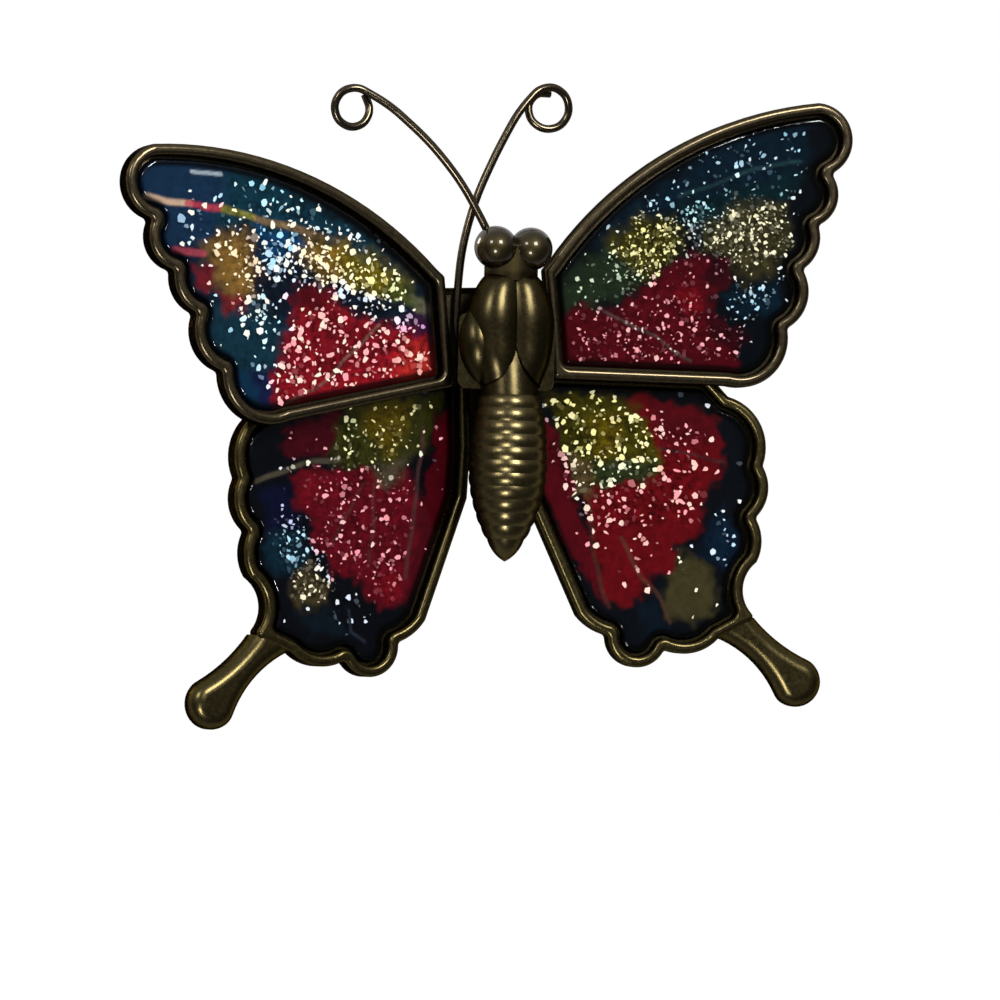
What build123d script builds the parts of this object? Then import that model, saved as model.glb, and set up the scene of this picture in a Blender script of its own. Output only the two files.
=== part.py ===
from build123d import *
import math
import os

# Butterfly ornament: two pairs of cast wing trays, four printed and epoxy-domed inserts, a cast body
# on a post, one bent antenna wire that swivels on that post, and a magnet glued to the back.
# Millimetres. X is the wing span, Z points to the head, -Y faces the viewer.
# The post's axis is the Y axis, and the magnet's rear face lies on Y = 0.

# Wing trays
WING_RAISE = 7.0  # degrees that each wing leans forward from the flat centre
FOREWING_TURN = -3.3  # degrees that the forewing pair is turned on the post, seen in the photograph
TRAY_DEPTH = 2.2
TRAY_FLOOR = 0.7
RIM_WIDTH = 1.1
RIM_ROUND = 0.5
RIM_INNER_ROUND = 0.4
NOTCH_ROUND = 0.5
CELL_ROUND = 0.9
SMOOTH_TURN = 3.0  # degrees; stretches of a cell that meet at less than this need no rounding
PAIR_GAP = 0.15  # between the hindwing rims and the backs of the forewings

# Wing outlines, right side, run clockwise from the root's top.
# Each corner is x, z and the outward bulge of the stretch that leads to it.
FOREWING_ROOT = 5.5
FOREWING_ROOT_WALL = 1.0
FOREWING_LOW = -3.2
FOREWING_SHOULDER = (6.25, 8.5)
FOREWING_TIP = (35.1, 22.4, 3.5)
FOREWING_LOBES = [(35.8, 15.2, 2.85), (34.0, 10.1, 1.35), (32.0, 5.8, 0.85), (29.9, 0.0, 1.35)]
FOREWING_HEEL = (23.3, -5.3, 2.35)
HINDWING_ROOT = 2.9
HINDWING_TOP = -1.6
HINDWING_TOP_OUTER = (22.5, -2.8, 0)
HINDWING_SHOULDER = (24.4, -5.0, 0)
HINDWING_LOBES = [(27.8, -12.1, 1.75), (26.9, -17.3, 0.95), (26.9, -21.8, 0.6)]
TAIL_ROOT = (22.8, -29.3)
TAIL_NECK = (26.7, -27.4)
TAIL_NECK_BULGE = -1.4
TAIL_SPOON = [(32.3, -31.9, -0.4), (28.9, -35.6, 2.95)]
TAIL_LOWER_BULGE = -0.9
TAIL_SEAT = (24.45, -27.7)  # inside the rim that the tail grows from
TAIL_DEPTH = 2.0
TAIL_BEND = 2.0  # radius where the sides of the tail's neck meet its round end
TAIL_ROUND = 1.4
HINDWING_LOWER_LOBES = [(17.1, -30.3, 0.95), (11.3, -28.7, 2.5)]
HINDWING_TOE = (8.3, -26.6, 0.3)
HINDWING_KNEE = (3.4, -14.6, 0)
HINDWING_ROOT_LOW = -9.6

# Printed inserts under epoxy domes
INSERT_GAP = 0.3
PRINT_THICKNESS = 0.15
DOME_THICKNESS = 0.9
DOME_ROUND = 0.45

# Centre stack
MAGNET_DIAMETER = 12.0
MAGNET_THICKNESS = 3.0
GLUE_MARGIN = 0.5  # of the magnet's edge that the glue leaves free
GLUE_THICKNESS = 0.2
PAD_WIDTH = 13.0
PAD_TOP = 6.5
PAD_BOTTOM = -9.0
PAD_THICKNESS = 0.8
COLUMN_WIDTH = 5.6
COLUMN_TOP = 5.0
COLUMN_BOTTOM = -6.0
PLATE_THICKNESS = 1.0
PLATE_TOP = 5.9
POST_DIAMETER = 2.2
POST_SHOULDER = 3.0
POST_CLEARANCE = 0.05
POST_HEAD_DIAMETER = 3.6
POST_HEAD_HEIGHT = 0.6

# Antenna wire
WIRE_DIAMETER = 0.8
WIRE_SIDE_GAP = 0.15  # from the wire to the plate behind it and to the body in front of it
COIL_RISE = 1.95  # from the rear leg to the front leg
COIL_START = 10.0  # degrees round the post where the front leg meets the coil
COIL_SWEEP = -490.0
COIL_CLEARANCE = 0.08  # from the coil to the post's shoulder
LEFT_CURL = (-15.0, 24.1)
LEFT_CURL_RADIUS = 1.87
LEFT_CURL_START = 55.0
LEFT_CURL_SWEEP = 370.0
FRONT_LEG_POINTS = [(-11.4, 24.3), (-7.3, 20.6), (-4.2, 16.7), (-1.9, 12.4), (0.4, 7.4), (1.8, 2.2)]
REAR_LEG_POINTS = [(-4.6, 0.6), (-4.4, 5.2), (-3.75, 10.2), (-2.15, 15.2), (0.3, 20.0), (2.6, 23.8)]
RIGHT_CURL = (6.0, 24.2)
RIGHT_CURL_RADIUS = 2.05
RIGHT_CURL_END_RADIUS = 1.35
RIGHT_CURL_START = 145.0
RIGHT_CURL_SWEEP = -315.0
RIGHT_CURL_END_SWEEP = -140.0  # over which it draws in
CURL_END_SHIFT = 1.6  # that a curl's end lies behind its start
RING_STEP = 45.0  # degrees between the corners of a bent ring
ARC_SHARE = 0.45  # of the shorter run beside a bend that its arc takes up
GAP_SAMPLES = 600  # points along the wire where its gap to itself is measured

# Body casting, flat at the back
BODY_TURN = 3.0  # degrees that the body is turned on the post, seen in the photograph
SADDLE_LEFT = 5.4
SADDLE_RIGHT = 4.6
SADDLE_TOP = 3.4
SADDLE_BOTTOM = -4.0
SADDLE_THICKNESS = 0.8
SADDLE_CORNER = 0.8
FIGURE_RISE = 0.4  # from the saddle's back to the flat back of the figure
# The thorax's core under the cape: height, half width and depth of its sections
CORE = [(7.2, 2.6, 1.3), (3.0, 3.2, 1.8), (0.6, 3.2, 2.05), (-2.5, 3.05, 2.5), (-4.8, 2.95, 2.85)]
# The cape's lobes: height, half width and depth of their sections
CAPE = [
    (7.45, 2.4, 1.2),
    (7.0, 2.95, 1.85),
    (5.5, 3.85, 2.4),
    (3.6, 4.4, 2.7),
    (1.9, 4.45, 2.75),
    (-0.3, 4.2, 2.75),
    (-1.9, 3.75, 2.65),
    (-4.0, 3.1, 2.5),
]
CAPE_WALL = 0.5  # height of the lobes' upright outer sides
CAPE_OVERLAP = 0.3  # share of its width that each lobe reaches past the seam
CAPE_POINT = 0.2
CAPE_CORNER = (3.2, -3.7)
CAPE_EDGE_BULGE = 0.7
# The swelling of the left shoulder: a spindle between these two points
FLANK_TOP = (-3.8, 4.5)
FLANK_FOOT = (-2.8, -3.9)
FLANK_BULGE = 2.1
EYE_RADIUS = 2.15
EYE_SPACING = 3.65
EYE_HEIGHT = 10.0
EYE_FORWARD = 0.6
NECK_FOOT = 6.8
NECK_WIDTH = 5.6
NECK_DEPTH = 1.9
ABDOMEN_TOP = -4.55
ABDOMEN_WIDEST = -11.3
ABDOMEN_TIP = -21.0
ABDOMEN_TIP_LENGTH = 2.2
ABDOMEN_TIP_BULGE = 0.3
ABDOMEN_RADIUS = 3.9
ABDOMEN_UPPER_REACH = 13.5  # above its widest place, where the upper half would run to a point
ABDOMEN_SLIMNESS = 0.8  # half an ellipse at 0.5, more pointed above it
RIB_COUNT = 11
RIB_RELIEF = 0.13

# Levels along Y, from the magnet's rear face towards the viewer
HIND_BACK = MAGNET_THICKNESS + GLUE_THICKNESS
FORE_BACK = HIND_BACK + TRAY_DEPTH + PAIR_GAP
PLATE_BACK = FORE_BACK + FOREWING_ROOT * math.tan(math.radians(WING_RAISE))
PLATE_FRONT = PLATE_BACK + PLATE_THICKNESS
REAR_LEG = PLATE_FRONT + WIRE_SIDE_GAP + WIRE_DIAMETER / 2
FRONT_LEG = REAR_LEG + COIL_RISE
BODY_BACK = FRONT_LEG + WIRE_DIAMETER / 2 + WIRE_SIDE_GAP
COIL_RADIUS = POST_SHOULDER / 2 + COIL_CLEARANCE + WIRE_DIAMETER / 2


def closed_face(start, *corners):
    """A face run clockwise: each corner comes with the outward bulge of the stretch that leads to it."""
    edges = []
    at = start
    for x, z, bulge in corners:
        edges.append(SagittaArc(at, (x, z), bulge) if bulge else Line(at, (x, z)))
        at = (x, z)
    edges.append(Line(at, start))
    return make_face(edges)


def forewing_face(root):
    x, z = FOREWING_SHOULDER
    return closed_face(
        (root, z - (x - root)),
        (x, z, 0),
        FOREWING_TIP,
        *FOREWING_LOBES,
        FOREWING_HEEL,
        (root, FOREWING_LOW, 0),
    )


def hindwing_face():
    return closed_face(
        (HINDWING_ROOT, HINDWING_TOP),
        HINDWING_TOP_OUTER,
        HINDWING_SHOULDER,
        *HINDWING_LOBES,
        (*TAIL_NECK, TAIL_NECK_BULGE),
        (*TAIL_ROOT, 0),
        *HINDWING_LOWER_LOBES,
        HINDWING_TOE,
        HINDWING_KNEE,
        (HINDWING_ROOT, HINDWING_ROOT_LOW, 0),
    )


def inset_face(face, distance):
    """The face drawn in by a distance, of straight runs and arcs as before."""
    edges = []
    for edge in offset(face, -distance).edges():
        if edge.geom_type == GeomType.LINE:
            edges.append(Line(edge @ 0, edge @ 1))
        else:
            edges.append(ThreePointArc(edge @ 0, edge @ 0.5, edge @ 1))
    return make_face(edges)


def rounded(face, radius):
    """The face with its corners rounded, but not the places where its stretches meet smoothly."""
    corners = []
    for vertex in face.vertices():
        spot = Vector(vertex)
        runs = []
        for edge in face.edges():
            runs += [edge % end for end in (0, 1) if (edge @ end - spot).length < radius / 100]
        if SMOOTH_TURN < runs[0].get_angle(runs[1]) < 180 - SMOOTH_TURN:
            corners.append(vertex)
    return fillet(corners, radius)


def cell_face(outline, gap=0):
    """The pocket inside an outline's rim, or what fills it with a gap all round."""
    return rounded(inset_face(outline, RIM_WIDTH + gap), CELL_ROUND - gap)


def slab(face, back, thickness):
    """The face, drawn in X and Z, as a slab whose back lies this far in front of Y = 0."""
    return extrude(Plane.XZ.offset(back) * face, thickness)


def tray(outline, cell):
    """A wing tray with its floor on Y = 0, a pocket for the insert and a rounded rim."""
    solid = slab(rounded(outline, NOTCH_ROUND), 0, TRAY_DEPTH) - slab(cell, TRAY_FLOOR, TRAY_DEPTH)
    rim = solid.faces().sort_by(Axis.Y)[0]
    solid = fillet(rim.outer_wire().edges(), RIM_ROUND)
    rim = solid.faces().sort_by(Axis.Y)[0]
    return fillet(rim.inner_wires()[0].edges(), RIM_INNER_ROUND)


def tail():
    """The solid tail of a hindwing, a spoon with well rounded edges, with its back on Y = 0."""
    face = closed_face(TAIL_NECK, *TAIL_SPOON, (*TAIL_ROOT, TAIL_LOWER_BULGE), (*TAIL_SEAT, 0))
    spoon_ends = face.vertices().sort_by(Axis.Y)[:2]
    spoon = slab(fillet(spoon_ends, TAIL_BEND), 0, TAIL_DEPTH)
    front = spoon.faces().sort_by(Axis.Y)[0]
    return fillet(front.edges().filter_by(GeomType.CIRCLE), TAIL_ROUND)


def raised(solid, back):
    """The right wing, leant forward about the centre line and set at its level."""
    return Pos(0, -back, 0) * Rot(0, 0, -WING_RAISE) * solid


def mirrored(solid):
    return mirror(solid, about=Plane.YZ)


def centre_block(width, bottom, top, back, front):
    return Pos(0, -back, (bottom + top) / 2) * Box(
        width, front - back, top - bottom, align=(Align.CENTER, Align.MAX, Align.CENTER)
    )


def centre_disc(diameter, back, front):
    return Pos(0, -back, 0) * Rot(90, 0, 0) * Cylinder(
        diameter / 2, front - back, align=(Align.CENTER, Align.CENTER, Align.MIN)
    )


def inserts(outline, back, turn):
    """The print and the dome that lie in a cell, for the right and the left wing."""
    face = cell_face(outline, INSERT_GAP)
    print_sheet = slab(face, TRAY_FLOOR, PRINT_THICKNESS)
    dome = slab(face, TRAY_FLOOR + PRINT_THICKNESS, DOME_THICKNESS)
    dome = fillet(dome.faces().sort_by(Axis.Y)[0].edges(), DOME_ROUND)
    pieces = {}
    for kind, solid in (("print", print_sheet), ("dome", dome)):
        right = raised(solid, back)
        pieces["right", kind] = Rot(0, turn, 0) * right
        pieces["left", kind] = Rot(0, turn, 0) * mirrored(right)
    return pieces


def forewing_frame(cell_outline):
    right = raised(tray(forewing_face(FOREWING_ROOT), cell_face(cell_outline)), FORE_BACK)
    plate_width = 2 * (FOREWING_ROOT + FOREWING_ROOT_WALL / 2)
    plate = centre_block(plate_width, FOREWING_LOW, PLATE_TOP, PLATE_BACK, PLATE_FRONT)
    bore = centre_disc(POST_DIAMETER + 2 * POST_CLEARANCE, PLATE_BACK, PLATE_FRONT)
    return Rot(0, FOREWING_TURN, 0) * (right + mirrored(right) + plate - bore)


def hindwing_frame(cell_outline):
    right = raised(tray(hindwing_face(), cell_face(cell_outline)) + tail(), HIND_BACK)
    pad = centre_block(PAD_WIDTH, PAD_BOTTOM, PAD_TOP, HIND_BACK, HIND_BACK + PAD_THICKNESS)
    column = centre_block(COLUMN_WIDTH, COLUMN_BOTTOM, COLUMN_TOP, HIND_BACK, PLATE_BACK)
    bore = centre_disc(POST_DIAMETER + 2 * POST_CLEARANCE, HIND_BACK, PLATE_BACK)
    sink = centre_disc(POST_HEAD_DIAMETER + 2 * POST_CLEARANCE, HIND_BACK, HIND_BACK + POST_HEAD_HEIGHT)
    return right + mirrored(right) + pad + column - bore - sink


def half_round(z, half_width, depth):
    """A D-shaped section across the body at height z, flat at the back."""
    edges = [
        Line((-half_width, 0), (half_width, 0)),
        ThreePointArc((half_width, 0), (0, -depth), (-half_width, 0)),
    ]
    return Pos(0, 0, z) * make_face(edges)


def lobe_section(z, width, depth):
    """A section across the right lobe of the cape at height z, upright at its sides and arched in front."""
    inner = -CAPE_OVERLAP * width
    arch = ThreePointArc((width, -CAPE_WALL), ((width + inner) / 2, -depth), (inner, -CAPE_WALL))
    walls = Polyline((inner, -CAPE_WALL), (inner, 0), (width, 0), (width, -CAPE_WALL))
    return Pos(0, 0, z) * make_face([*arch.edges(), *walls.edges()])


def cape():
    """Two arched lobes that meet at a seam and part in a V towards the abdomen."""
    top = CAPE[0][0]
    side = 2 * max(width for z, width, depth in CAPE)
    front = 2 * max(depth for z, width, depth in CAPE)
    x, z = CAPE_CORNER
    reach = closed_face(
        (-side, top),
        (side, top, 0),
        (side, z, 0),
        (x, z, 0),
        (0, CAPE_POINT, CAPE_EDGE_BULGE),
        (-side, CAPE_POINT, 0),
    )
    lobe = loft([lobe_section(*section) for section in CAPE]) & slab(reach, 0, front)
    return lobe + mirrored(lobe)


def flank():
    """The front half of a spindle that swells the left shoulder."""
    (x, z), (top_x, top_z) = FLANK_FOOT, FLANK_TOP
    profile = closed_face(FLANK_FOOT, (top_x, top_z, FLANK_BULGE))
    return revolve(Plane.XZ * profile, Axis((x, 0, z), (top_x - x, 0, top_z - z)), 180)


def abdomen():
    """The front half of a ribbed, pointed spindle."""

    def spindle(z):
        reach = ABDOMEN_UPPER_REACH if z > ABDOMEN_WIDEST else ABDOMEN_TIP - ABDOMEN_WIDEST
        share = (z - ABDOMEN_WIDEST) / reach
        return ABDOMEN_RADIUS * (1 - share**2) ** ABDOMEN_SLIMNESS

    pitch = (ABDOMEN_TOP - ABDOMEN_TIP - ABDOMEN_TIP_LENGTH) / RIB_COUNT
    heights = [ABDOMEN_TOP - rib * pitch for rib in range(RIB_COUNT + 1)]
    profile = closed_face(
        (spindle(heights[0]), heights[0]),
        *[(spindle(z), z, RIB_RELIEF) for z in heights[1:]],
        (0, ABDOMEN_TIP, ABDOMEN_TIP_BULGE),
        (0, ABDOMEN_TOP, 0),
    )
    return revolve(Plane.XZ * profile, Axis((0, 0, 0), (0, 0, -1)), 180)


def head():
    """Two ball eyes on a short neck, flat at the back."""
    eyes = Part()
    for side in (-1, 1):
        eyes += Pos(side * EYE_SPACING / 2, -EYE_FORWARD, EYE_HEIGHT) * Sphere(EYE_RADIUS)
    width = EYE_SPACING + 3 * EYE_RADIUS
    behind = Box(width, EYE_RADIUS, 3 * EYE_RADIUS, align=(Align.CENTER, Align.MIN, Align.CENTER))
    neck = extrude(half_round(NECK_FOOT, NECK_WIDTH / 2, NECK_DEPTH), EYE_HEIGHT - NECK_FOOT)
    return eyes - Pos(0, 0, EYE_HEIGHT) * behind + neck


def body():
    saddle_face = Pos((SADDLE_RIGHT - SADDLE_LEFT) / 2, (SADDLE_TOP + SADDLE_BOTTOM) / 2) * RectangleRounded(
        SADDLE_RIGHT + SADDLE_LEFT, SADDLE_TOP - SADDLE_BOTTOM, SADDLE_CORNER
    )
    core = loft([half_round(*section) for section in CORE])
    figure = Pos(0, -FIGURE_RISE, 0) * (core + cape() + flank() + abdomen() + head())
    casting = Pos(0, -BODY_BACK, 0) * (figure + slab(saddle_face, 0, SADDLE_THICKNESS))
    shoulder = centre_disc(POST_SHOULDER, PLATE_FRONT, BODY_BACK)
    post = centre_disc(POST_DIAMETER, HIND_BACK, PLATE_FRONT)
    headed_end = centre_disc(POST_HEAD_DIAMETER, HIND_BACK, HIND_BACK + POST_HEAD_HEIGHT)
    return Rot(0, BODY_TURN, 0) * (casting + shoulder + post + headed_end)


def ring_points(centre, radius, end_radius, start, sweep, level, climb):
    """Corners of a polyline that runs round a circle or spiral, tangent to it, from start degrees."""
    count = round(abs(sweep) / RING_STEP)
    half_step = math.radians(sweep / count / 2)
    points = []
    for corner in range(count):
        share = (corner + 0.5) / count
        angle = math.radians(start + share * sweep)
        reach = (radius + share * (end_radius - radius)) / math.cos(half_step)
        x = centre[0] + reach * math.cos(angle)
        z = centre[1] + reach * math.sin(angle)
        points.append((x, -level - share * climb, z))
    return points


def on_level(level, points):
    return [(x, -level, z) for x, z in points]


def antenna_route():
    """Corners of the wire's route: left curl, front leg, coil round the post, rear leg, right curl."""
    left_curl = ring_points(
        LEFT_CURL,
        LEFT_CURL_RADIUS,
        LEFT_CURL_RADIUS,
        LEFT_CURL_START,
        LEFT_CURL_SWEEP,
        FRONT_LEG,
        -CURL_END_SHIFT,
    )
    front_leg = on_level(FRONT_LEG, FRONT_LEG_POINTS)
    coil = ring_points((0, 0), COIL_RADIUS, COIL_RADIUS, COIL_START, COIL_SWEEP, FRONT_LEG, -COIL_RISE)
    rear_leg = on_level(REAR_LEG, REAR_LEG_POINTS)
    end_shift = CURL_END_SHIFT * RIGHT_CURL_END_SWEEP / (RIGHT_CURL_SWEEP + RIGHT_CURL_END_SWEEP)
    right_curl = ring_points(
        RIGHT_CURL,
        RIGHT_CURL_RADIUS,
        RIGHT_CURL_RADIUS,
        RIGHT_CURL_START,
        RIGHT_CURL_SWEEP,
        REAR_LEG,
        end_shift - CURL_END_SHIFT,
    )
    right_curl += ring_points(
        RIGHT_CURL,
        RIGHT_CURL_RADIUS,
        RIGHT_CURL_END_RADIUS,
        RIGHT_CURL_START + RIGHT_CURL_SWEEP,
        RIGHT_CURL_END_SWEEP,
        REAR_LEG + end_shift - CURL_END_SHIFT,
        -end_shift,
    )
    return left_curl[::-1] + front_leg + coil + rear_leg + right_curl


def corner_radii(points):
    """The largest arcs that the runs beside each corner leave room for."""
    radii = []
    for before, corner, after in zip(points, points[1:], points[2:]):
        run_in = Vector(corner) - Vector(before)
        run_out = Vector(after) - Vector(corner)
        turn = math.radians(run_in.get_angle(run_out))
        radii.append(ARC_SHARE * min(run_in.length, run_out.length) / math.tan(turn / 2))
    return radii


def least_gap(path):
    """The least gap of the wire to itself, measured between points that are not neighbours along it."""
    spots = [path.position_at(i / GAP_SAMPLES) for i in range(GAP_SAMPLES + 1)]
    skip = math.ceil(3 * WIRE_DIAMETER / path.length * GAP_SAMPLES)
    gaps = []
    for i, spot in enumerate(spots):
        gaps += [(spot - other).length - WIRE_DIAMETER for other in spots[i + skip:]]
    return min(gaps)


def antenna_wire():
    route = antenna_route()
    radii = corner_radii(route)
    path = FilletPolyline(*route, radius=radii)
    section = Plane(path @ 0, z_dir=path % 0) * Circle(WIRE_DIAMETER / 2)
    wire = sweep(section, path=path)
    print("antenna wire: length %.1f, tightest bend %.2f" % (path.length, min(radii)))
    print("volume %.2f against %.2f" % (wire.volume, path.length * math.pi * WIRE_DIAMETER**2 / 4))
    print("least gap to itself %.2f" % least_gap(path))
    return wire


def main():
    fore_outline = forewing_face(FOREWING_ROOT - RIM_WIDTH + FOREWING_ROOT_WALL)
    hind_outline = hindwing_face()
    nodes = {
        "forewing_frame": forewing_frame(fore_outline),
        "hindwing_frame": hindwing_frame(hind_outline),
        "body": body(),
        "antenna_wire": antenna_wire(),
        "magnet": centre_disc(MAGNET_DIAMETER, 0, MAGNET_THICKNESS),
        "magnet_glue": centre_disc(MAGNET_DIAMETER - 2 * GLUE_MARGIN, MAGNET_THICKNESS, HIND_BACK),
    }
    for wing, outline, back, turn in (
        ("forewing", fore_outline, FORE_BACK, FOREWING_TURN),
        ("hindwing", hind_outline, HIND_BACK, 0),
    ):
        for (side, kind), solid in inserts(outline, back, turn).items():
            nodes[f"{side}_{wing}_{kind}"] = solid
    os.makedirs("parts", exist_ok=True)
    for name, solid in nodes.items():
        export_step(solid, f"parts/{name}.step")


main()
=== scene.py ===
import math

import bmesh
import bpy
import numpy as np
from mathutils import Matrix, Vector, noise
from mathutils.geometry import delaunay_2d_cdt


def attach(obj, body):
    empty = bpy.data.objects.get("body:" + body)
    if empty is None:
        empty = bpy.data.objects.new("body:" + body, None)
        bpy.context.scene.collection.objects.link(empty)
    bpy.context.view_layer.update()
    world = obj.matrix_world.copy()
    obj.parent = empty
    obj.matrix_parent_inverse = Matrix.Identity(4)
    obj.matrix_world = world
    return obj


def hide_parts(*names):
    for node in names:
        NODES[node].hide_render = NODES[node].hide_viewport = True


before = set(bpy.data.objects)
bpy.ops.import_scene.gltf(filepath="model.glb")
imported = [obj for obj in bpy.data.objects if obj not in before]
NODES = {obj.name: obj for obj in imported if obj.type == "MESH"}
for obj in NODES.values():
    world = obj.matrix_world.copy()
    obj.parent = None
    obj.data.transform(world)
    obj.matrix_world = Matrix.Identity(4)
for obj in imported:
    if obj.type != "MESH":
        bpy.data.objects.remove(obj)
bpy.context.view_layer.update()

# Butterfly ornament: dark antique brass castings and wire, and four printed, glittered inserts under clear
# epoxy. Metres. X is the wing span, Z points to the head, -Y faces the viewer.
MM = 0.001

# The wings' own planes, as in the CAD model
WING_RAISE = math.radians(7)
WINGS = {
    "forewing": {"back": 5.55 * MM, "turn": math.radians(-3.3)},
    "hindwing": {"back": 3.2 * MM, "turn": 0},
}
PRINT_FRONT = 0.85 * MM  # from a tray's back to the front of its print
UNDERSIDE = 0.95  # cosine to straight back past which a dome's face lies on its print

# The body's finish by height
THORAX_FOOT = -4.8 * MM  # above it less of the patina is rubbed off
THORAX_FADE = 0.3 * MM  # height over which that sets in
THORAX_WEAR = 0.4  # share of the wear that is left there
EYE_FOOT = 7.4 * MM  # above it lies the eyes' lacquer, over a colour painted darker
EYE_FADE = 0.6 * MM
# The eyes' colour, painted darker than the body's metal: painted shade for the dark they reflect
EYE_COLOUR_WITH_PAINTED_SHADE = "#443b22"
EYE_ROUGHNESS = 0.42  # of the metal under the lacquer
NOWHERE = 1.0  # a height above the whole ornament

# Antique brass
PATINA_CLOUD = 3.03 * MM  # patches where more of the patina stayed
CLOUD_SHARE = 0.4  # how much they change the wear
PATINA_GRAIN = 0.4 * MM  # grain in the metal's colour and gloss
GRAIN_SHARE = 0.5
PATINA_ROUGHNESS = 0.5
EDGE_TINT = "#6a5c44"  # of the metal where it is seen at a slant

# The other finishes
MOTTLE = 0.333 * MM  # faint spots in ferrite and glue
MOTTLE_LIGHT = 1.3  # how many times lighter they are at most
DUST_BLOTCH = 0.909 * MM  # the coarsest in the glitter dust

# The painted prints, in millimetres of a wing's own plane
PAINT_STEP = 0.16  # between the points of a print that carry its colours
WANDER_LENGTH = 3  # over which the paint's edges stray slowly
RIPPLES_PER_MM = 1.2  # by which they stray finely
PATCH_WANDER = 0.8
PATCH_RIPPLE = 0.7
STROKE_WANDER = 0.3
MARGIN = 0.45  # at a print's edge, dark in the shade of the rim
MARGIN_LIGHT = 0.1  # share of the paint that still shows there
FOIL_WHITE = 0.16  # share of white in the tint of a flake
STRAY_FLAKES = 0.02  # density of the flakes outside the glittered patches
FRONT_DEPTH = 0.05  # within which a corner counts as one of the front face
INSIDE_ONLY = 1  # what the triangulation keeps
SAME_CORNER = 1e-5  # distance at which it joins corners
noise.seed_set(2)  # so that the patches of paint get the same ragged edges each time

# The flakes of foil
FLAKE_CORNERS = (5, 6, 7)  # of the three shapes
FLAKE_SIZES = (0.42, 1.3)  # of the middle radius, from the many small ones to the few large
FLAKE_LENGTH = (0.75, 1.0)  # of its size
FLAKE_WIDTH = (0.4, 0.9)
FLAKE_SPACING = 0.9  # of the middle radius, the least distance of two flakes
FLAKE_RISE = (0.15, 0.7)  # of the resin's depth, where the flakes lie
FLAKE_TILT = 0.25  # radians that a flake leans at most
FLAKE_SPIN = 6.3  # radians, once round
RESIN_DEPTH = 0.9 * MM
RAGGEDNESS = 0.085 * MM  # by which a flake's corners are off at most
RAGGED_DEPTH = 0.4  # of that, along the view
DULL_GLINT = 0.06  # painted glint of a flake that lies dull to the light
GLINT_SPAN = 0.3  # share of the flakes between dull and bright, in their painted glint

# The stage
FLOOR_SIZE = 6
FLOOR_DROP = 0.25  # from the ornament's middle down to the floor

# The camera that took the photograph
CAMERA_YAW = math.radians(18)
CAMERA_PITCH = math.radians(-2)
CAMERA_ROLL = -0.02667  # radians
CAMERA_DISTANCE = 0.5
CAMERA_NEAR = 0.01  # distance from which it sees things
PICTURE_SIZE = 1000  # pixels
FOCAL_PIXELS = 5000
AIM = Vector((0, -5.4 * MM, 0))  # a point on the post's axis, level with the wings
AIM_COLUMN, AIM_ROW = 492.88, 351.7  # its pixel in the picture
SENSOR = 36  # millimetres


def colour(code):
    """An sRGB hex colour as the linear colour that a shader socket takes."""
    channels = [int(code[i:i + 2], 16) / 255 for i in (1, 3, 5)]
    return [c / 12.92 if c <= 0.04045 else ((c + 0.055) / 1.055) ** 2.4 for c in channels] + [1.0]


def add(tree, kind, settings=None, **inputs):
    """A node with its settings, and its inputs set to a value or linked to one or more sockets. An input is
    named, with _ for a space, or numbered from i0."""
    node = tree.nodes.new(kind)
    for name, value in (settings or {}).items():
        setattr(node, name, value)
    for name, value in inputs.items():
        numbered = name[0] == "i" and name[1:].isdigit()
        socket = node.inputs[int(name[1:]) if numbered else name.replace("_", " ")]
        sources = value if isinstance(value, list) else [value]
        if isinstance(sources[0], bpy.types.NodeSocket):
            for source in sources:
                tree.links.new(source, socket)
        else:
            socket.default_value = value
    return node


def new_material(name):
    """An empty material and its node tree."""
    made = bpy.data.materials.new(name)
    made.use_nodes = True
    made.node_tree.nodes.clear()
    return made, made.node_tree


def finish_material(tree, shader):
    """Lays a shader on the material's surface."""
    add(tree, "ShaderNodeOutputMaterial", Surface=shader)


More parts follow.
